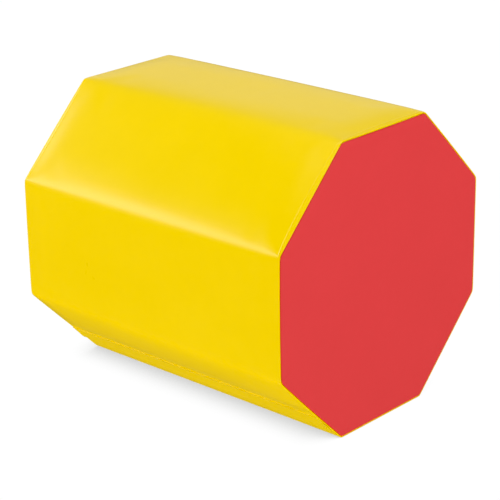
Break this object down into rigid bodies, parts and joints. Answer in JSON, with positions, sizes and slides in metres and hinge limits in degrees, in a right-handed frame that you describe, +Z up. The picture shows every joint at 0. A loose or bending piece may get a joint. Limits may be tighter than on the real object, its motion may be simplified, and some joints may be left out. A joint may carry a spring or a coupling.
{
  "type": "octagonal foam gymnastics roller",
  "caption": "Soft octagonal foam roller in a zipped coated-fabric cover with flat end panels and a flap over a lengthwise zip.",
  "frame": {"origin": "centre of the footprint on the floor, directly below the roll axis, with the roller lying on one side facet", "axes": "+Z up, Y along the roll axis with the front end panel at -Y, X across the roll; the zip and its flap are on the lower facet at -X"},
  "size_m": [0.6, 0.69, 0.6],
  "materials": {
    "yellow_vinyl": "satin",
    "red_vinyl": "satin",
    "foam": "matte",
    "thread": "satin",
    "zip_tape": "matte",
    "zip_teeth": "satin",
    "zip_metal": "satin"
  },
  "bodies": {
    "roller": {"foam_core": "foam", "cover_wrap": "yellow_vinyl", "front_end_panel": "red_vinyl", "rear_end_panel": "red_vinyl", "front_seam_thread": "thread", "rear_seam_thread": "thread", "flap_sewn_margin": "yellow_vinyl", "flap_stitch_thread": "thread", "hem_stitch_thread": "thread", "zip_tape_upper": "zip_tape", "zip_tape_lower": "zip_tape", "zip_teeth_upper": "zip_teeth", "zip_teeth_lower": "zip_teeth", "zip_stop_front": "zip_metal", "zip_stop_rear": "zip_metal"},
    "flap": {"zip_flap": "yellow_vinyl"},
    "slider": {"zip_slider_body": "zip_metal", "zip_pull_pin": "zip_metal"},
    "pull": {"zip_pull_tab": "zip_metal"}
  },
  "joints": [
    {"name": "zip_flap_open", "type": "hinge", "parent": "roller", "child": "flap", "pos_m": [-0.18762, 0, 0.06251], "axis": [0, 1, 0], "range_deg": [0, 120]},
    {"name": "zip_slider_travel", "type": "slide", "parent": "roller", "child": "slider", "axis": [0, 1, 0], "range_m": [0, 0.637]},
    {"name": "zip_pull_lift", "type": "hinge", "parent": "slider", "child": "pull", "pos_m": [-0.17397, -0.3235, 0.0507], "axis": [-0.7071, 0, 0.7071], "range_deg": [0, 60]}
  ],
  "couplings": [
    {"joint": "zip_pull_lift", "follows": "zip_flap_open", "ratio": 0.5}
  ]
}
